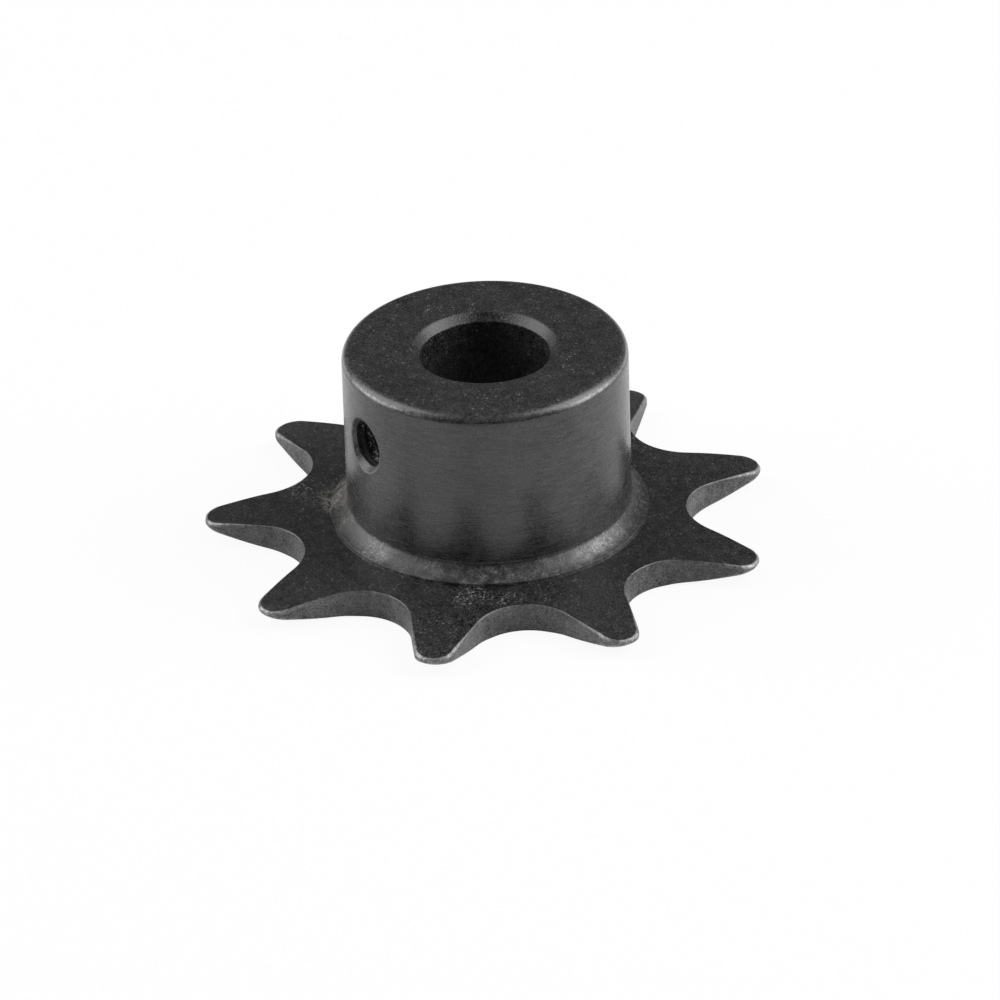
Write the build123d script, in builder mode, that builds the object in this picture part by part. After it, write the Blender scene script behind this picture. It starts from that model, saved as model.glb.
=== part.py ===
from build123d import *
import os
from math import radians, sin

# Chain sprocket, made as one piece: a toothed plate with a hub on one side, bored through and drilled
# for a set screw. Millimetres. The origin is on the bore axis at the plate's back face, +Z runs to the
# hub's face, and the set-screw hole opens towards -Y.

os.makedirs("parts", exist_ok=True)

# Chain that runs on the teeth
chain_pitch = 12.7
roller_diameter = 7.75
roller_clearance = 0.15

# Teeth, seen along the bore
tooth_count = 9
flank_angle = 15.85
tooth_nose_radius = 1.5
screw_to_tooth_angle = 6.95

# Plate, and the relief that thins the teeth towards their tips on both faces
plate_thickness = 2.2
tooth_tip_thickness = 0.54
front_relief_depth = 0.64
front_relief_land = 0.1
back_relief_land = 0.7
relief_bulge = 0.09
rim_bulge = 0.12
rim_trim = 0.05

# Hub, and the collar that slopes from the plate to its side
hub_diameter = 21
overall_length = 15.7
hub_edge_radius = 0.8
collar_width = 1.2
collar_height = 1.16
collar_lip = 0.27
collar_hollow = 0.12

# Bore, and the countersunk hole for the set screw
bore_diameter = 9.525
bore_chamfer = 0.62
screw_hole_diameter = 3.4
countersink_diameter = 4.3
countersink_angle = 90
screw_from_hub_face = 4.97

hub_radius = hub_diameter / 2
bore_radius = bore_diameter / 2
collar_radius = hub_radius + collar_width
screw_height = overall_length - screw_from_hub_face

# The rollers seat on the pitch circle, and each flank leaves its seat as a tangent
half_pitch_angle = 180 / tooth_count
flank_direction = half_pitch_angle + flank_angle
pitch_radius = chain_pitch / (2 * sin(radians(half_pitch_angle)))
seat_radius = roller_diameter / 2 + roller_clearance
root_radius = pitch_radius - seat_radius

# The two flanks of a tooth would meet at its apex, which the nose rounds off
flank_sine = sin(radians(flank_angle))
apex_radius = (pitch_radius * sin(radians(flank_direction)) - seat_radius) / flank_sine
nose_reach = apex_radius - tooth_nose_radius * (1 / flank_sine - 1)
outside_radius = nose_reach - rim_trim

front_relief_start = root_radius + front_relief_land
back_relief_start = root_radius + back_relief_land
tip_front = plate_thickness - front_relief_depth
tip_back = tip_front - tooth_tip_thickness

# Outline of one pitch from apex to apex, with its roller seat on the +X axis
with BuildLine() as one_pitch:
    half_seat = CenterArc((pitch_radius, 0), seat_radius, 180, flank_direction - 90)
    Line(half_seat @ 1, Vector(apex_radius, 0).rotate(Axis.Z, half_pitch_angle))
    mirror(about=Plane.XZ)

with BuildPart() as sprocket:
    # Toothed plate, with the first tooth set beside the set-screw hole
    with BuildSketch() as plate_outline:
        with BuildLine():
            with PolarLocations(0, tooth_count, start_angle=screw_to_tooth_angle + half_pitch_angle - 90):
                add(one_pitch.line)
        make_face()
        apexes = plate_outline.vertices().sort_by_distance((0, 0))[-tooth_count:]
        fillet(apexes, tooth_nose_radius)
    extrude(amount=plate_thickness)

    # Turned section of the plate, which leaves only what lies within its rim and its two reliefs,
    # each bowed outwards
    with BuildSketch(Plane.XZ) as plate_section:
        with BuildLine():
            rim = ThreePointArc(
                (outside_radius - rim_bulge, tip_back),
                (outside_radius, (tip_back + tip_front) / 2),
                (outside_radius - rim_bulge, tip_front),
            )
            front_relief = SagittaArc(rim @ 1, (front_relief_start, plate_thickness), -relief_bulge)
            back_relief = SagittaArc((back_relief_start, 0), rim @ 0, -relief_bulge)
            Polyline(front_relief @ 1, (0, plate_thickness), (0, 0), back_relief @ 0)
        make_face()
    revolve(axis=Axis.Z, mode=Mode.INTERSECT)

    # Hub with its sloping collar, rooted in the middle of the plate
    with BuildSketch(Plane.XZ) as hub_section:
        with BuildLine():
            collar = SagittaArc(
                (collar_radius, plate_thickness + collar_lip),
                (hub_radius, plate_thickness + collar_height),
                collar_hollow,
            )
            Polyline(
                collar @ 1,
                (hub_radius, overall_length),
                (0, overall_length),
                (0, plate_thickness / 2),
                (collar_radius, plate_thickness / 2),
                collar @ 0,
            )
        make_face()
        hub_corner = hub_section.vertices().sort_by_distance((hub_radius, overall_length))[0]
        fillet(hub_corner, hub_edge_radius)
    revolve(axis=Axis.Z)

    # Bore, chamfered at both ends
    Hole(bore_radius)
    bore_rims = sprocket.edges(Select.LAST).filter_by(GeomType.CIRCLE)
    chamfer(bore_rims, bore_chamfer)

    # Set-screw hole, from the hub's side into the bore
    with Locations(Plane((0, -hub_radius, screw_height), z_dir=(0, -1, 0))):
        CounterSinkHole(screw_hole_diameter / 2, countersink_diameter / 2, hub_radius, countersink_angle)

sprocket.part.label = "sprocket"
export_step(sprocket.part, "parts/sprocket.step")
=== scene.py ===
from math import ceil, cos, pi, radians, sin, sqrt, tau

import bmesh
import bpy
import numpy as np
from mathutils import Matrix, Vector, noise


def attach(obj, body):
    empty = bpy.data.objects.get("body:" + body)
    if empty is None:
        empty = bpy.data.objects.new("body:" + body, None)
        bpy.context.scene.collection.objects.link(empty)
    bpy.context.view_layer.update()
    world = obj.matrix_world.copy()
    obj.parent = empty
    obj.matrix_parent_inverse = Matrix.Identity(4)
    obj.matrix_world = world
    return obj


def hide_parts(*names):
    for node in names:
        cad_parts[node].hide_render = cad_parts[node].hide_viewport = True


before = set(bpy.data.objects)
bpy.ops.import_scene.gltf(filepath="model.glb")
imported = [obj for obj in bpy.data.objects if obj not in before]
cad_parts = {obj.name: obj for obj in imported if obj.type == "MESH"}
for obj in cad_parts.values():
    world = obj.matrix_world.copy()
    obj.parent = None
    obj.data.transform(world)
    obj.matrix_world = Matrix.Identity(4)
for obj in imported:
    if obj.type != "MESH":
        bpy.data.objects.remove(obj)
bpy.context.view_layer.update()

# A chain sprocket in black oxide steel. Sizes are millimetres and angles are degrees, in the frame of the
# CAD: the bore's axis is Z, the plate's back face lies on the floor at z = 0, and the set-screw hole
# opens towards -Y.

MM = 0.001

# Teeth, seen along the bore
TOOTH_COUNT = 9
CHAIN_PITCH = 12.7
SEAT_RADIUS = 4.025
FLANK_ANGLE = 15.85
NOSE_RADIUS = 1.5
SCREW_TO_TOOTH_ANGLE = 6.95
HALF_PITCH = 180 / TOOTH_COUNT
PITCH_RADIUS = CHAIN_PITCH / (2 * sin(radians(HALF_PITCH)))
FLANK_DIRECTION = HALF_PITCH + FLANK_ANGLE
FLANK_SINE = sin(radians(FLANK_ANGLE))
APEX_RADIUS = (PITCH_RADIUS * sin(radians(FLANK_DIRECTION)) - SEAT_RADIUS) / FLANK_SINE
ROOT_RADIUS = PITCH_RADIUS - SEAT_RADIUS
SEAT_STEPS, FLANK_STEPS, NOSE_STEPS = 10, 9, 11

# Plate, with the two reliefs that thin the teeth
PLATE_THICKNESS = 2.2
OUTSIDE_RADIUS = 21.03
RIM_BULGE = 0.12
FRONT_LAND = 0.1
BACK_LAND = 0.7
FRONT_START = ROOT_RADIUS + FRONT_LAND
BACK_START = ROOT_RADIUS + BACK_LAND
TIP_FRONT = 1.56
TIP_BACK = 1.02
RELIEF_BULGE = 0.09
TEETH_START = 12.9
PLATE_FRONT_RADII = (12.0, 12.4, TEETH_START)
PLATE_BACK_RADII = (TEETH_START, 10.6, 8.4, 6.6, 5.75)
FRONT_STEPS, BACK_STEPS = 11, 7

# Edges of the teeth, broken by use: their size at the roots and tips, and the radii between which it grows
EDGE_ROOT = 0.1
EDGE_TIP = 0.25
EDGE_GROWS = (17, 20.8)
EDGE_TURNS = np.radians((20, 42, 66, 90))
WALL_SHARES = (0.12, 0.3, 0.5, 0.7, 0.88)

# Bore, with heights of its rings, and how soft the edges of its chamfers are
BORE_RADIUS = 4.7625
BORE_CHAMFER = 0.62
CHAMFER_RADIUS = BORE_RADIUS + BORE_CHAMFER
LOW_CHAMFER_SOFTNESS = 0.08
HIGH_CHAMFER_INNER_SOFTNESS = 0.2
HIGH_CHAMFER_OUTER_SOFTNESS = 0.35
LOW_CHAMFER_STEPS, HIGH_CHAMFER_STEPS = 3, 5
BORE_HEIGHTS = (1.6, 3.0, 4.5, 6.0, 7.2)
BORE_WINDOW_HEIGHTS = np.linspace(7.8, 13.6, 13)
BORE_WINDOW_ANGLE = 33.0

# Hub, with radii and heights of its rings
HUB_RADIUS = 10.5
LENGTH = 15.7
HUB_EDGE = 0.8
HUB_EDGE_TURNS = np.linspace(90, 0, 14)
HUB_FACE_RADII = (5.8, 6.6, 7.5, 8.4, 9.1, 9.65)
HUB_UPPER_HEIGHTS = (14.75, 14.45, 14.1)
HUB_WINDOW_HEIGHTS = np.linspace(13.8, 7.6, 17)
HUB_LOWER_HEIGHTS = (7.1, 6.2, 5.3, 4.5, 3.9, 3.6)
HUB_WINDOW_ANGLE = 17.0

# Collar, whose slope bends like a weld's edge, and its outer lip
COLLAR_HIGH = (HUB_RADIUS, 3.46)
COLLAR_BEND = (10.92, 2.76)
COLLAR_LOW = (11.7, 2.47)
COLLAR_STEPS = 12
LIP_STEPS = 4
LIP_CORNERS = (
    (11.2, 2.66, 0),
    (*COLLAR_LOW, 0.04),
    (11.74, PLATE_THICKNESS, 0.03),
    (12.2, PLATE_THICKNESS, 0),
)
COLLAR_UNEVENNESS = 0.03
UNEVEN_ABOVE = 2.35
COLLAR_PATCHINESS = 0.4

# Set-screw hole
SCREW_HEIGHT = 10.73
HOLE_RADIUS = 1.7
SINK_RADIUS = 2.15
SINK_SOFTNESS = 0.09
SINK_END = SINK_RADIUS - HOLE_RADIUS - HUB_RADIUS
THREAD_PITCH = 0.7
THREAD_DEPTH = 0.3
THREAD_RINGS_PER_TURN = 11
GROOVE_FULLNESS = 1.25
GROOVE_STEEPNESS = 2.9
HOLE_STEPS = 144
HOLE_RADII_ON_HUB = (2.75, 2.55, 2.38)
HOLE_RADII_ON_BORE = (1.78, 1.95, 2.2, 2.45)

# Wear, where 0 is sound oxide and 1 is bare steel
EDGE_WEAR = 0.32
TIP_WEAR = 0.5
WALL_WEAR = 0.25
LOW_CHAMFER_WEAR = 0.4
HIGH_CHAMFER_WEAR = 0.14
CORNER_WEAR = 0.22
# The corner's line of bare steel is partly wear and partly a painted highlight, left off the side that faces
# the camera.
CORNER_LINE_WEAR_AND_HIGHLIGHT = 0.5
CORNER_LINE_AT = 30
CORNER_LINE_WIDTH = 8
SINK_WEAR = 0.25
THREAD_WEAR = 0.25

# Angle from +X to the side that faces the camera: the hub's corner gets no painted highlight line there, and
# the collar's pale oxide fades away from it on both sides.
CAMERA_SIDE = -28

# Worn and rusty patches: centre, size and strength. The five scuffs at height 3.1 lie on the collar and also
# place its painted highlight.
SCUFFS_AND_HIGHLIGHTS = (
    (10.7, 1.4, 3.1, 1.2, 0.6),
    (10.4, 2.7, 3.1, 1.1, 0.9),
    (10.0, 3.9, 3.1, 1.1, 1.0),
    (9.5, 5.1, 3.1, 1.1, 0.7),
    (1.6, -10.8, 3.1, 2.0, 1.0),
    (10.4, -7.9, 2.2, 1.8, 1.0),
    (11.9, -5.9, 2.2, 1.6, 0.8),
    (-9.4, -9.9, 2.2, 2.6, 0.8),
    (-7.4, -9.4, 2.4, 1.8, 0.9),
    (-4.0, -9.6, 14.9, 2.0, 0.25),
    (9.0, -3.0, 15.3, 2.4, 0.2),
)
RUST = (
    (-6.9, -8.6, 2.9, 2.6, 1.0),
    (-5.0, -9.2, 4.4, 2.4, 0.5),
    (-3.2, -10.4, 2.9, 1.7, 0.5),
)

# Colours, as grey levels
FACE_OXIDE = 0.039
# The cut walls of the teeth and the hub's side are painted lighter than the faces, as if lit; the walls
# partly for their rougher cut.
WALL_OXIDE_AND_PAINTED_LIGHT = 0.185
SIDE_PAINTED_LIGHT = 0.078
COLLAR_DARK = 0.028
COLLAR_LIGHT = 0.125
# Painted highlight on the collar.
COLLAR_PAINTED_HIGHLIGHT = 0.3
SOOT = 0.02
DUST = 0.28
# Specks in the set-screw hole's thread, painted near white as glints.
DUST_AND_GLINTS_ON_SOOT = 0.8
BARE_STEEL = 0.55
RUST_COLOUR = (0.27, 0.247, 0.22, 1.0)

# Camera, as in the photograph, with its distance in metres
VIEW_AZIMUTH = 59.6
VIEW_HEIGHT = 30.386
VIEW_ROLL = -1.8355
VIEW_DISTANCE = 0.7391
FRAME_PIXELS = 1000
PIXELS_PER_METRE = 13545.0
ORIGIN_PIXEL = (490.6, 531.8)

# Lamps: name, turn from the camera, height, distance, width, length and power, in degrees, metres and watts
LAMPS = (
    ("left", -100, 34, 0.6, 0.5, 0.75, 3.9),
    ("right", 89, 34, 0.6, 0.5, 0.75, 5.0),
    ("back", 180, 46, 0.7, 0.6, 0.25, 0.1),
)

# Sky, as grey levels
SKY_LOW = 0.15
SKY_OVERHEAD = 0.08
SKY_BY_CAMERA = 0.015

# Floor of white paper: sizes in metres, grey level, and how much of it shows as plain white
FLOOR_HALF = 1.5
FLOOR_DROP = 0.00002
FLOOR_PAPER = 0.86
FLOOR_WHITE_SHARE = 0.93
FLOOR_MIRRORED_SHARE = 0.35


def smooth(x, low, high):
    """Soft step from 0 at low to 1 at high."""
    t = np.clip((np.asarray(x, float) - low) / (high - low), 0, 1)
    return t * t * (3 - 2 * t)


def bezier(first, bend, last, t):
    """Point at share t of a curve from first to last that is pulled towards bend."""
    return first * (1 - t) ** 2 + bend * 2 * t * (1 - t) + last * t ** 2


def radius_of(points):
    """Distance from the bore's axis."""
    return np.hypot(points[:, 0], points[:, 1])


def direction(azimuth, height):
    """Unit vector at an azimuth, turned from -Y towards +X, and an angle above the floor."""
    a, e = radians(azimuth), radians(height)
    return Vector((sin(a) * cos(e), -cos(a) * cos(e), sin(e)))


def tooth_outline():
    """Points and outward normals all round the teeth, starting in the middle of a gap."""
    seat = np.radians(np.linspace(180, 90 + FLANK_DIRECTION, SEAT_STEPS + 1))
    seat_normal = -np.stack([np.cos(seat), np.sin(seat)], 1)
    seat_points = np.array([PITCH_RADIUS, 0]) - SEAT_RADIUS * seat_normal

    nose = np.radians(np.linspace(FLANK_DIRECTION - 90, HALF_PITCH, NOSE_STEPS + 1))
    nose_normal = np.stack([np.cos(nose), np.sin(nose)], 1)
    middle = np.array([cos(radians(HALF_PITCH)), sin(radians(HALF_PITCH))])
    nose_points = (APEX_RADIUS - NOSE_RADIUS / FLANK_SINE) * middle + NOSE_RADIUS * nose_normal

    share = np.linspace(0, 1, FLANK_STEPS + 1)[1:-1, None]
    flank_points = seat_points[-1] * (1 - share) + nose_points[0] * share
    flank_normal = np.repeat(nose_normal[:1], len(share), 0)

    points = np.concatenate([seat_points, flank_points, nose_points])
    normals = np.concatenate([seat_normal, flank_normal, nose_normal])
    full = radians(2 * HALF_PITCH)
    flip = np.array([[cos(full), sin(full)], [sin(full), -cos(full)]])
    points = np.concatenate([points, (points @ flip)[-2:0:-1]])
    normals = np.concatenate([normals, (normals @ flip)[-2:0:-1]])

    every_point, every_normal = [], []
    for k in range(TOOTH_COUNT):
        angle = radians(SCREW_TO_TOOTH_ANGLE + HALF_PITCH - 90) + k * full
        turn = np.array([[cos(angle), sin(angle)], [-sin(angle), cos(angle)]])
        every_point.append(points @ turn)
        every_normal.append(normals @ turn)
    return np.concatenate(every_point), np.concatenate(every_normal)


def relieved(r, start, face, tip, bulge):
    """Height at radius r of a face that slopes from its start to the tips of the teeth."""
    x = np.clip((r - start) / (OUTSIDE_RADIUS - RIM_BULGE - start), 0, 1.05)
    return face + (tip - face) * x + 4 * bulge * x * (1 - x)


def front_height(r):
    return relieved(r, FRONT_START, PLATE_THICKNESS, TIP_FRONT, RELIEF_BULGE)


def back_height(r):
    return relieved(r, BACK_START, 0.0, TIP_BACK, -RELIEF_BULGE)


def within_rim(p, z):
    """Keeps the tooth's nose inside the turned rim."""
    middle = (TIP_FRONT + TIP_BACK) / 2
    rim = OUTSIDE_RADIUS - RIM_BULGE * np.clip((z - middle) / (TIP_FRONT - middle), -1, 1) ** 2
    return p * np.minimum(1, rim / radius_of(p))[:, None]


def rounded(corners, steps):
    """Arcs at the corners (r, z, radius) of a profile, apart from its two ends. Gives (r, z, wear)."""
    out = []
    for before, (r, z, size), after in zip(corners, corners[1:], corners[2:]):
        here = np.array([r, z])
        before = np.array(before[:2]) - here
        after = np.array(after[:2]) - here
        before /= np.linalg.norm(before)
        after /= np.linalg.norm(after)
        half = np.arccos(np.clip(before @ after, -1, 1)) / 2
        reach = size / np.tan(half)
        centre = here + (before + after) / np.linalg.norm(before + after) * size / np.sin(half)
        first = here + before * reach - centre
        last = here + after * reach - centre
        sweep = pi - 2 * half
        for t in np.linspace(0, 1, steps + 1):
            way = (first * sin((1 - t) * sweep) + last * sin(t * sweep)) / sin(sweep)
            out.append((*(centre + way), 1.0 if 0 < t < 1 else 0.6))
    return out


def wobble(angle, seed, turns):
    """Slow unevenness round the axis, between about -1 and 1."""
    return noise.noise(Vector((turns * cos(angle), turns * sin(angle), seed)))


def away_from_camera_side(angles):
    return angles - radians(CAMERA_SIDE)


class Surface:
    """Rings of points with their masks, and the faces between them."""

    def __init__(self):
        self.points = []
        self.masks = []
        self.faces = []
        self.size = 0

    def ring(self, x, y, z, wear=0.0, wall=0.0, weld=0.0, side=0.0):
        """Adds a ring and gives the numbers of its points."""
        full = np.ones(len(x))
        self.points.append(np.stack([x * full, y * full, z * full], 1))
        self.masks.append(np.stack([wear * full, wall * full, weld * full, side * full], 1))
        first = self.size
        self.size += len(x)
        return np.arange(first, self.size)

    def strip(self, first, second, left_out=()):
        """Quads between two rings, apart from the columns left out."""
        for i in range(len(first)):
            if i not in left_out:
                k = (i + 1) % len(first)
                self.faces.append((first[i], first[k], second[k], second[i]))

    def bridge(self, loop, ring):
        """Fills between two loops round the set-screw hole with triangles, by angle."""
        loop, a = self.by_angle(loop)
        ring, b = self.by_angle(ring)
        i = j = 0
        while i < len(loop) - 1 or j < len(ring) - 1:
            if j == len(ring) - 1 or (i < len(loop) - 1 and a[i + 1] <= b[j + 1]):
                self.faces.append((loop[i], ring[j], loop[i + 1]))
                i += 1
            else:
                self.faces.append((loop[i], ring[j], ring[j + 1]))
                j += 1

    def by_angle(self, loop):
        """Sorts a loop by its angle round the hole in the unrolled side, and closes it."""
        loop = np.array(loop)
        p = np.concatenate(self.points)[loop]
        offset = (np.degrees(np.arctan2(p[:, 1], p[:, 0])) + 90 + 180) % 360 - 180
        angle = np.arctan2(p[:, 2] - SCREW_HEIGHT, np.radians(offset) * radius_of(p)) % tau
        order = np.argsort(angle)
        loop, angle = loop[order], angle[order]
        return np.append(loop, loop[0]), np.append(angle, angle[0] + tau)


class Turned:
    """Rings round the bore's axis, with one column for each point of the tooth outline."""

    def __init__(self, surface, angles):
        self.surface = surface
        self.angles = angles
        self.rows = []

    def add(self, x, y, z, **masks):
        self.rows.append(self.surface.ring(x, y, z, **masks))
        return len(self.rows) - 1

    def circle(self, r, z, **masks):
        return self.add(r * np.cos(self.angles), r * np.sin(self.angles), z, **masks)

    def window(self, rows, half_width):
        """The rows and columns that the set-screw hole is cut in: first and last of each."""
        inside = np.nonzero(np.abs(np.degrees(self.angles) - 270) < half_width)[0]
        return rows[0], rows[-1], inside[0], inside[-1]

    def close(self, windows):
        """Joins the rows, the last to the first, and leaves the windows open."""
        for j, row in enumerate(self.rows):
            left_out = set()
            for top, bottom, left, right in windows:
                if top <= j < bottom:
                    left_out.update(range(left, right))
            self.surface.strip(row, self.rows[(j + 1) % len(self.rows)], left_out)

    def frame_of(self, window):
        """The points round a window."""
        top, bottom, left, right = window
        loop = [self.rows[top][i] for i in range(left, right)]
        loop += [self.rows[j][right] for j in range(top, bottom)]
        loop += [self.rows[bottom][i] for i in range(right, left, -1)]
        loop += [self.rows[j][left] for j in range(bottom, top, -1)]
        return loop


def add_bore(turned):
    """Bore, from the chamfer in the back face up to the hub's face. Gives the rows of its window."""
    low_chamfer = rounded([
        (CHAMFER_RADIUS + 1, 0, 0),
        (CHAMFER_RADIUS, 0, LOW_CHAMFER_SOFTNESS),
        (BORE_RADIUS, BORE_CHAMFER, LOW_CHAMFER_SOFTNESS),
        (BORE_RADIUS, BORE_CHAMFER + 1, 0),
    ], LOW_CHAMFER_STEPS)
    for r, z, wear in low_chamfer:
        turned.circle(r, z, wear=LOW_CHAMFER_WEAR * wear)
    for z in BORE_HEIGHTS:
        turned.circle(BORE_RADIUS, z)
    rows = [turned.circle(BORE_RADIUS, z) for z in BORE_WINDOW_HEIGHTS]
    high_chamfer = rounded([
        (BORE_RADIUS, LENGTH - BORE_CHAMFER - 1, 0),
        (BORE_RADIUS, LENGTH - BORE_CHAMFER, HIGH_CHAMFER_INNER_SOFTNESS),
        (CHAMFER_RADIUS, LENGTH, HIGH_CHAMFER_OUTER_SOFTNESS),
        (CHAMFER_RADIUS + 1, LENGTH, 0),
    ], HIGH_CHAMFER_STEPS)
    for r, z, wear in high_chamfer:
        turned.circle(r, z, wear=HIGH_CHAMFER_WEAR * wear)
    return rows


def add_hub(turned):
    """Hub's face, its rounded corner and its side. Gives the rows of its window."""
    for r in HUB_FACE_RADII:
        turned.circle(r, LENGTH)

    # The corner is worn bright along its lower edge, a line that is partly wear and partly a painted
    # highlight, all round but for the side facing the camera.
    rubbed_and_highlight = 1 - smooth(np.cos(away_from_camera_side(turned.angles)), 0.72, 0.95)
    for degrees in HUB_EDGE_TURNS:
        angle = radians(degrees)
        r = HUB_RADIUS - HUB_EDGE + HUB_EDGE * cos(angle)
        z = LENGTH - HUB_EDGE + HUB_EDGE * sin(angle)
        line = np.exp(-((degrees - CORNER_LINE_AT) / CORNER_LINE_WIDTH) ** 2)
        wear = CORNER_WEAR * sin(2 * angle) + CORNER_LINE_WEAR_AND_HIGHLIGHT * line * rubbed_and_highlight
        turned.circle(r, z, wear=wear, side=max(0.0, cos(angle)))

    for z in HUB_UPPER_HEIGHTS:
        turned.circle(HUB_RADIUS, z, side=1.0)
    rows = [turned.circle(HUB_RADIUS, z, side=1.0) for z in HUB_WINDOW_HEIGHTS]
    for z in HUB_LOWER_HEIGHTS:
        turned.circle(HUB_RADIUS, z, side=1.0)
    return rows


def add_collar(turned):
    """Collar, a little uneven all round, with a soft outer lip. Its pale oxide fades on two sides."""
    uneven = COLLAR_UNEVENNESS * np.array([wobble(a, seed=3.0, turns=5.0) for a in turned.angles])
    patchy = COLLAR_PATCHINESS * np.array([wobble(a, seed=8.0, turns=9.0) for a in turned.angles])
    fade = smooth(np.abs(np.sin(away_from_camera_side(turned.angles))), 0.66, 0.9)
    pale = np.clip(1 - fade + patchy, 0.05, 1)

    high, bend, low = np.array(COLLAR_HIGH), np.array(COLLAR_BEND), np.array(COLLAR_LOW)
    for t in np.linspace(0, 1, COLLAR_STEPS + 1)[:-1]:
        r, z = bezier(high, bend, low, t)
        turned.circle(r + uneven * t * 2 / 3, z + uneven, weld=float(smooth(t, 0.0, 0.25)) * pale)
    for k, (r, z, _) in enumerate(rounded(LIP_CORNERS, LIP_STEPS)):
        turned.circle(r + uneven, z + uneven * (z > UNEVEN_ABOVE), weld=pale if k <= LIP_STEPS + 1 else 0.0)


def add_plate(turned, outline, normal):
    """Front face, broken edges and walls of the teeth, and back face."""
    reach = radius_of(outline)
    edge = EDGE_ROOT + (EDGE_TIP - EDGE_ROOT) * smooth(reach, *EDGE_GROWS)
    brink = outline - normal * edge[:, None]
    edge_wear = EDGE_WEAR + TIP_WEAR * smooth(reach, 17.5, 20.6)
    wall_wear = WALL_WEAR * smooth(reach, 19.2, 20.9)
    top, bottom = front_height(reach), back_height(reach)

    def face_rings(crease, height, steps):
        """Rings from the circle where the teeth start out to their brink, with one on the crease."""
        start = TEETH_START * np.stack([np.cos(turned.angles), np.sin(turned.angles)], 1)
        width = radius_of(brink) - TEETH_START
        share = (np.minimum(crease, radius_of(brink) - 0.2) - TEETH_START) / width
        shares = [share * t for t in (0.35, 0.7, 0.94, 1.0)]
        shares += [share + (1 - share) * t for t in np.linspace(0, 1, steps + 1)[1:]]
        rings = []
        for s in shares:
            p = start * (1 - s[:, None]) + brink * s[:, None]
            rings.append((p[:, 0], p[:, 1], height(radius_of(p))))
        return rings

    def edge_ring(turn, z):
        p = within_rim(brink + normal * (edge * sin(turn))[:, None], z)
        wear = edge_wear * (0.5 if turn == EDGE_TURNS[-1] else 1.0)
        turned.add(p[:, 0], p[:, 1], z, wear=wear, wall=turn / (pi / 2))

    for r in PLATE_FRONT_RADII:
        turned.circle(r, PLATE_THICKNESS)
    for x, y, z in face_rings(FRONT_START, front_height, FRONT_STEPS):
        turned.add(x, y, z)
    for turn in EDGE_TURNS:
        edge_ring(turn, top - edge * (1 - cos(turn)))
    for t in WALL_SHARES:
        z = (top - edge) * (1 - t) + (bottom + edge) * t
        p = within_rim(outline, z)
        turned.add(p[:, 0], p[:, 1], z, wear=wall_wear, wall=1.0)
    for turn in EDGE_TURNS[::-1]:
        edge_ring(turn, bottom + edge * (1 - cos(turn)))
    for x, y, z in reversed(face_rings(BACK_START, back_height, BACK_STEPS)):
        turned.add(x, y, z)
    for r in PLATE_BACK_RADII:
        turned.circle(r, 0.0)


def add_screw_hole(surface):
    """Rings round the hole's axis, from the hub's side through countersink and thread to the bore."""
    around = np.arange(HOLE_STEPS) * tau / HOLE_STEPS
    rings = []

    def add(r, y, **masks):
        rings.append(surface.ring(r * np.cos(around), y, SCREW_HEIGHT + r * np.sin(around), **masks))

    def on_cylinder(radius, away):
        """The Y of a ring round the hole that lies on a cylinder round the bore's axis."""
        return -np.sqrt(radius ** 2 - (away * np.cos(around)) ** 2)

    # The countersink's rim on the round hub is narrower from side to side than up and down
    rim = np.full(HOLE_STEPS, SINK_RADIUS)
    for _ in range(12):
        rim = SINK_RADIUS - (HUB_RADIUS + on_cylinder(HUB_RADIUS, rim))
    for away in HOLE_RADII_ON_HUB:
        add(away, on_cylinder(HUB_RADIUS, away), side=1.0)
    outer_y = on_cylinder(HUB_RADIUS, rim + SINK_SOFTNESS)
    rim_y = on_cylinder(HUB_RADIUS, rim)
    inner, inner_y = rim - SINK_SOFTNESS * sqrt(0.5), rim_y + SINK_SOFTNESS * sqrt(0.5)
    for t in (0.0, 0.2, 0.4, 0.6, 0.8, 1.0):
        r = bezier(rim + SINK_SOFTNESS, rim, inner, t)
        add(r, bezier(outer_y, rim_y, inner_y, t), wear=0.0 if t in (0.0, 1.0) else SINK_WEAR, wall=0.5)
    for t in (0.35, 0.7):
        add(inner * (1 - t) + HOLE_RADIUS * t, inner_y * (1 - t) + SINK_END * t, wall=0.5)

    # Thread, with chipped crests, that runs out at both ends
    bore_end = on_cylinder(BORE_RADIUS, HOLE_RADIUS)
    turns = (abs(SINK_END) - sqrt(BORE_RADIUS ** 2 - HOLE_RADIUS ** 2)) / THREAD_PITCH
    for t in np.linspace(0, 1, ceil(turns * THREAD_RINGS_PER_TURN) + 1):
        y = SINK_END * (1 - t) + bore_end * t
        phase = (y / THREAD_PITCH + around / tau) % 1.0
        groove = np.clip(GROOVE_FULLNESS - GROOVE_STEEPNESS * np.abs(phase - 0.5), 0, 1)
        groove = groove * smooth(y - SINK_END, 0.35, 0.6) * smooth(bore_end - y, 0.0, 0.3)
        chipped = np.array([noise.noise(Vector((3 * cos(a), 3 * sin(a), 4 * v))) for a, v in zip(around, y)])
        wear = THREAD_WEAR * smooth(groove, 0.3, 0.0) * smooth(y - SINK_END, 0.1, 0.4)
        add(HOLE_RADIUS + THREAD_DEPTH * groove * (0.75 + 0.6 * chipped), y, wear=wear)
    for away in HOLE_RADII_ON_BORE:
        add(away, on_cylinder(BORE_RADIUS, away))

    for first, second in zip(rings, rings[1:]):
        surface.strip(first, second)
    return rings[0], rings[-1]


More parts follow.
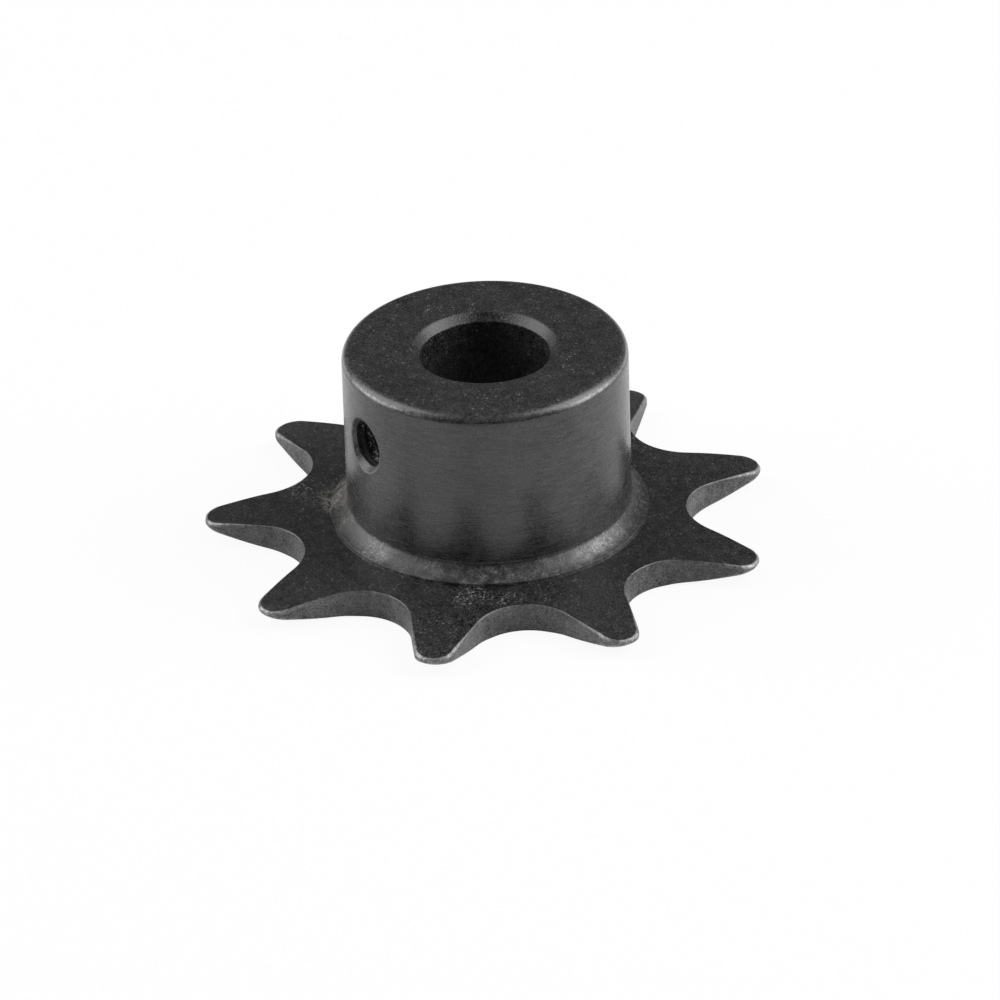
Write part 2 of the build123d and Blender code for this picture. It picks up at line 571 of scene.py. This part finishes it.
def stains(points):
    """Soot inside the set-screw hole; scuffs, which also place the collar's painted highlight, and dust with
    painted glints in the hole; and rust, as (soot, scuff_and_highlight, rust, 1).
    """
    r = radius_of(points)
    away = np.hypot(points[:, 0], points[:, 2] - SCREW_HEIGHT)
    inside = (away < HOLE_RADIUS + THREAD_DEPTH + 0.1) & (points[:, 1] < 0) & (r > BORE_RADIUS - 0.01)
    thread_start = SINK_END + 0.15
    soot = inside * smooth(points[:, 1], thread_start, thread_start + 0.1)
    # Dust specks deep in the hole, painted as glints where the soot is.
    dust_and_glints = inside * 0.9 * smooth(HUB_RADIUS - r, 0.9, 1.4)

    def patches(places):
        most = np.zeros(len(points))
        for x, y, z, size, strength in places:
            gap = np.sqrt(((points - np.array([x, y, z])) ** 2).sum(1))
            most = np.maximum(most, strength * smooth(size - gap, 0.0, 0.6 * size))
        return most

    return np.stack([soot, np.maximum(patches(SCUFFS_AND_HIGHLIGHTS), dust_and_glints), patches(RUST), np.ones(len(points))], 1)


def vertex_normals(mesh, points):
    """Normals weighted by area, and exact ones where the surface is a true cylinder."""
    areas = np.zeros(len(mesh.polygons))
    mesh.polygons.foreach_get("area", areas)
    flat = np.zeros(len(mesh.polygons) * 3)
    mesh.polygons.foreach_get("normal", flat)
    total = np.zeros((len(points), 3))
    for polygon, weighted in zip(mesh.polygons, flat.reshape(-1, 3) * areas[:, None]):
        for v in polygon.vertices:
            total[v] += weighted
    total /= np.linalg.norm(total, axis=1)[:, None]

    r = radius_of(points)
    radial = np.stack([points[:, 0] / r, points[:, 1] / r, 0 * r], 1)
    outwards = (total * radial).sum(1)
    on_side = (points[:, 2] > COLLAR_HIGH[1] + 0.05) & (points[:, 2] < LENGTH - HUB_EDGE + 0.001)
    on_hub = on_side & (np.abs(r - HUB_RADIUS) < 1e-4) & (outwards > 0.93)
    on_bore = (np.abs(r - BORE_RADIUS) < 1e-4) & (outwards < -0.93)
    total[on_hub] = radial[on_hub]
    total[on_bore] = -radial[on_bore]
    return total


def make_object(surface):
    """The mesh of the surface, without the points that the windows leave over."""
    points, masks = np.concatenate(surface.points), np.concatenate(surface.masks)
    used = np.zeros(len(points), bool)
    for face in surface.faces:
        used[list(face)] = True
    number = np.cumsum(used) - 1
    points, masks = points[used], masks[used]
    faces = [tuple(int(number[v]) for v in face) for face in surface.faces]

    mesh = bpy.data.meshes.new("sprocket_body")
    mesh.from_pydata((points * MM).tolist(), [], faces)
    work = bmesh.new()
    work.from_mesh(mesh)
    bmesh.ops.recalc_face_normals(work, faces=work.faces)
    if work.calc_volume(signed=True) < 0:
        bmesh.ops.reverse_faces(work, faces=work.faces)
    work.to_mesh(mesh)
    work.free()
    mesh.update()
    for polygon in mesh.polygons:
        polygon.use_smooth = True
    mesh.normals_split_custom_set_from_vertices(vertex_normals(mesh, points).tolist())

    for name, values in (("masks", masks), ("stains", stains(points))):
        layer = mesh.color_attributes.new(name, "FLOAT_COLOR", "POINT")
        layer.data.foreach_set("color", values.ravel())
    body = bpy.data.objects.new("sprocket_body", mesh)
    bpy.context.scene.collection.objects.link(body)
    return body


def build_sprocket():
    """One closed mesh of rings round the bore's axis, with the set-screw hole let in at two windows."""
    outline, normal = tooth_outline()
    surface = Surface()
    turned = Turned(surface, np.unwrap(np.arctan2(outline[:, 1], outline[:, 0])))
    bore_rows = add_bore(turned)
    hub_rows = add_hub(turned)
    add_collar(turned)
    add_plate(turned, outline, normal)

    hub_window = turned.window(hub_rows, HUB_WINDOW_ANGLE)
    bore_window = turned.window(bore_rows, BORE_WINDOW_ANGLE)
    turned.close([hub_window, bore_window])
    hub_ring, bore_ring = add_screw_hole(surface)
    surface.bridge(turned.frame_of(hub_window), hub_ring)
    surface.bridge(turned.frame_of(bore_window), bore_ring)
    return make_object(surface)


class Nodes:
    """Short ways to add nodes to a material or world."""

    def __init__(self, owner):
        owner.use_nodes = True
        self.tree = owner.node_tree
        self.tree.nodes.clear()

    def feed(self, socket, value):
        """Links a socket to another, or sets its value."""
        if isinstance(value, bpy.types.NodeSocket):
            self.tree.links.new(value, socket)
        else:
            socket.default_value = value

    def add(self, kind, inputs=None, **settings):
        node = self.tree.nodes.new("ShaderNode" + kind)
        for name, value in settings.items():
            setattr(node, name, value)
        for name, value in (inputs or {}).items():
            self.feed(node.inputs[name], value)
        return node

    def math(self, operation, *values):
        node = self.add("Math", operation=operation)
        for socket, value in zip(node.inputs, values):
            self.feed(socket, value)
        return node.outputs[0]

    def plus(self, total, *others):
        for other in others:
            total = self.math("ADD", total, other)
        return total

    def times(self, product, *others):
        for other in others:
            product = self.math("MULTIPLY", product, other)
        return product

    def most(self, first, second):
        return self.math("MAXIMUM", first, second)

    def noise(self, vector, scale, detail, rough):
        node = self.add("TexNoise", {"Vector": vector, "Scale": scale, "Detail": detail, "Roughness": rough})
        return node.outputs["Fac"]

    def ramp(self, value, low, high, out_low=0.0, out_high=1.0):
        node = self.add("MapRange", {
            "Value": value, "From Min": low, "From Max": high, "To Min": out_low, "To Max": out_high,
        })
        return node.outputs["Result"]

    def mix(self, factor, first, second):
        node = self.add("Mix", {"Factor": factor}, data_type="RGBA")
        colours = [socket for socket in node.inputs if socket.type == "RGBA"]
        self.feed(colours[0], first)
        self.feed(colours[1], second)
        return [socket for socket in node.outputs if socket.type == "RGBA"][0]


def grey(value, warm=0.0):
    """Colour of a grey level, a little warmer if asked."""
    return (value * (1 + warm), value, value * (1 - warm), 1.0)


def oxide_steel():
    """Black oxide on steel: turned, mottled and dusty, rusty in places and worn through at the edges, with
    painted light on the hub's side and the tooth walls, and painted highlights on the hub's corner, the
    collar and in the set-screw hole.
    """
    material = bpy.data.materials.new("oxide_steel")
    n = Nodes(material)
    place = n.add("TexCoord").outputs["Object"]
    x, y, z = n.add("SeparateXYZ", {"Vector": place}).outputs
    masks = n.add("VertexColor", layer_name="masks").outputs
    wear, wall, weld = n.add("SeparateColor", {"Color": masks["Color"]}).outputs
    side = masks["Alpha"]
    stained = n.add("VertexColor", layer_name="stains").outputs["Color"]
    soot, scuff_and_highlight, rust = n.add("SeparateColor", {"Color": stained}).outputs
    weld_or_rust = n.most(weld, rust)

    # Turned marks run round the axis, on the faces and on the hub's side
    turned = n.add("CombineXYZ", {
        "X": n.times(n.math("SQRT", n.plus(n.times(x, x), n.times(y, y))), 1000.0),
        "Y": n.times(z, 1000.0),
        "Z": n.math("ARCTAN2", y, x),
    }).outputs[0]
    lines = n.noise(turned, 11.0, 4.0, 0.65)
    blotch = n.noise(place, 330.0, 4.0, 0.6)
    mottle = n.noise(place, 1500.0, 4.0, 0.6)
    grain = n.noise(place, 6500.0, 3.0, 0.65)
    fine = n.noise(place, 5200.0, 3.0, 0.6)

    # Dark oxide, painted lighter on the hub's side and the cut walls of the teeth as if lit (the walls
    # partly for their rougher cut), and a little lighter on the collar
    oxide = n.mix(wall, grey(FACE_OXIDE), grey(WALL_OXIDE_AND_PAINTED_LIGHT))
    oxide = n.mix(side, oxide, grey(SIDE_PAINTED_LIGHT))
    collar = n.mix(n.ramp(mottle, 0.4, 0.62), grey(COLLAR_DARK, 0.01), grey(COLLAR_LIGHT, 0.01))
    oxide = n.mix(weld, oxide, collar)
    oxide = n.mix(n.times(rust, n.ramp(mottle, 0.35, 0.6)), oxide, RUST_COLOUR)
    oxide = n.mix(soot, oxide, grey(SOOT))

    # Mottled all over, streaked round the hub's side and grained elsewhere
    even = n.ramp(side, 0.0, 1.0, 1.0, 0.4)
    streak = n.ramp(side, 0.0, 1.0, 0.12, 0.6)
    fine_grain = n.plus(n.ramp(side, 0.0, 1.0, 1.0, 0.3), n.times(wall, -0.4))
    shade = n.plus(
        n.times(n.ramp(mottle, 0.35, 0.65, -0.14, 0.14), even),
        n.ramp(blotch, 0.35, 0.65, 0.3, 0.5),
        n.times(n.ramp(lines, 0.35, 0.65, -0.4, 0.4), streak),
        n.times(n.ramp(grain, 0.35, 0.65, -0.5, 0.5), fine_grain),
    )
    oxide = n.mix(n.add("Clamp", {"Value": shade}).outputs[0], grey(0.0), oxide)

    # Dust lies in specks, closer together where the surface is scuffed; in the set-screw hole's thread the
    # specks are painted near white, as glints
    dust = n.times(n.ramp(fine, 0.61, 0.7), n.ramp(mottle, 0.42, 0.6, 0.0, 0.65))
    dust = n.most(dust, n.times(n.ramp(fine, 0.55, 0.67), scuff_and_highlight))
    dust = n.times(dust, n.math("SUBTRACT", 1.0, side))
    oxide = n.mix(dust, oxide, n.mix(soot, grey(DUST), grey(DUST_AND_GLINTS_ON_SOOT)))

    # The collar is painted lighter in places as a highlight, and is smoother there
    rubbed_and_highlight = n.times(scuff_and_highlight, weld, n.ramp(n.noise(place, 3600.0, 4.0, 0.7), 0.38, 0.62))
    oxide = n.mix(rubbed_and_highlight, oxide, grey(COLLAR_PAINTED_HIGHLIGHT))

    # Steel shows where the edges are worn through
    patchy = n.ramp(n.noise(place, 3000.0, 4.0, 0.7), 0.3, 0.6)
    bare = n.times(n.ramp(wear, 0.15, 1.0), patchy, 0.75)
    colour = n.mix(bare, oxide, grey(BARE_STEEL))

    roughness = n.plus(
        n.ramp(mottle, 0.3, 0.7, 0.36, 0.46),
        n.times(n.ramp(grain, 0.3, 0.7, -0.08, 0.08), fine_grain),
        n.times(side, -0.16),
        n.times(soot, 0.3),
        n.times(weld_or_rust, 0.1),
        n.times(rubbed_and_highlight, -0.18),
    )
    height = n.plus(
        n.times(lines, n.plus(streak, n.times(weld_or_rust, -0.1))),
        n.times(grain, fine_grain),
        n.times(mottle, n.plus(n.ramp(weld_or_rust, 0.0, 1.0, 0.3, 2.4), n.times(side, -0.24))),
    )
    bump = n.add("Bump", {"Strength": 0.7, "Distance": 0.00003, "Height": height})
    shader = n.add("BsdfPrincipled", {
        "Base Color": colour, "Roughness": roughness, "Normal": bump.outputs[0], "IOR": 1.6,
        "Metallic": n.times(bare, 0.8),
    })
    n.add("OutputMaterial", {"Surface": shader.outputs[0]})
    return material


def pale_floor():
    """White paper that shows as plain white to the camera, apart from a faint shadow."""
    half = FLOOR_HALF
    corners = [(-half, -half, 0), (half, -half, 0), (half, half, 0), (-half, half, 0)]
    mesh = bpy.data.meshes.new("floor")
    mesh.from_pydata(corners, [], [(0, 1, 2, 3)])
    floor = bpy.data.objects.new("floor", mesh)
    floor.location.z = -FLOOR_DROP
    bpy.context.scene.collection.objects.link(floor)

    material = bpy.data.materials.new("pale_floor")
    n = Nodes(material)
    path = n.add("LightPath").outputs
    mirrored = n.most(path["Is Glossy Ray"], path["Is Transmission Ray"])
    seen = n.most(path["Is Camera Ray"], n.times(mirrored, FLOOR_MIRRORED_SHARE))
    paper = n.add("BsdfDiffuse", {"Color": grey(FLOOR_PAPER)})
    white = n.add("Emission", {"Color": grey(1.0), "Strength": 1.0})
    share = n.times(seen, FLOOR_WHITE_SHARE)
    both = n.add("MixShader", {"Fac": share, 1: paper.outputs[0], 2: white.outputs[0]})
    n.add("OutputMaterial", {"Surface": both.outputs[0]})
    mesh.materials.append(material)


def studio():
    """Soft boxes on both sides, a faint one behind, and a sky dimmer overhead and on the camera's side."""
    world = bpy.data.worlds.new("studio")
    bpy.context.scene.world = world
    n = Nodes(world)
    x, y, z = n.add("SeparateXYZ", {"Vector": n.add("TexCoord").outputs["Generated"]}).outputs
    ahead = direction(VIEW_AZIMUTH + 180, 0)
    depth = n.plus(n.times(x, ahead.x), n.times(y, ahead.y))
    sky = n.mix(n.ramp(z, 0.2, 0.48), grey(SKY_LOW), grey(SKY_OVERHEAD))
    sky = n.mix(n.ramp(depth, -0.6, 0.05), grey(SKY_BY_CAMERA), sky)
    background = n.add("Background", {"Color": sky, "Strength": 1.0})
    n.add("OutputWorld", {"Surface": background.outputs[0]})

    for name, turn, height, distance, width, length, power in LAMPS:
        light = bpy.data.lights.new(name, "AREA")
        light.shape = "RECTANGLE"
        light.size = width
        light.size_y = length
        light.energy = power
        lamp = bpy.data.objects.new(name, light)
        away = direction(VIEW_AZIMUTH + turn, height)
        lamp.location = away * distance
        lamp.rotation_euler = away.to_track_quat("Z", "Y").to_euler()
        bpy.context.scene.collection.objects.link(lamp)


def photo_camera():
    """Camera that shows the frame's origin at the same pixel as the photograph does."""
    camera = bpy.data.cameras.new("camera")
    camera.sensor_width = 36.0
    camera.lens = camera.sensor_width * PIXELS_PER_METRE * VIEW_DISTANCE / FRAME_PIXELS
    camera.shift_x = (FRAME_PIXELS / 2 - ORIGIN_PIXEL[0]) / FRAME_PIXELS
    camera.shift_y = (ORIGIN_PIXEL[1] - FRAME_PIXELS / 2) / FRAME_PIXELS
    camera.clip_start = 0.01
    camera.clip_end = 20.0

    back = direction(VIEW_AZIMUTH, VIEW_HEIGHT)
    level_right = direction(VIEW_AZIMUTH + 90, 0)
    level_up = back.cross(level_right)
    roll = radians(VIEW_ROLL)
    right = level_right * cos(roll) + level_up * sin(roll)
    up = level_up * cos(roll) - level_right * sin(roll)
    place = Matrix((right, up, back)).transposed().to_4x4()
    place.translation = back * VIEW_DISTANCE
    holder = bpy.data.objects.new("camera", camera)
    holder.matrix_world = place
    bpy.context.scene.collection.objects.link(holder)
    bpy.context.scene.camera = holder


body = build_sprocket()
body.data.materials.append(oxide_steel())
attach(body, "root")
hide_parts("sprocket")
pale_floor()
studio()
photo_camera()

bpy.context.scene.view_settings.view_transform = "Standard"
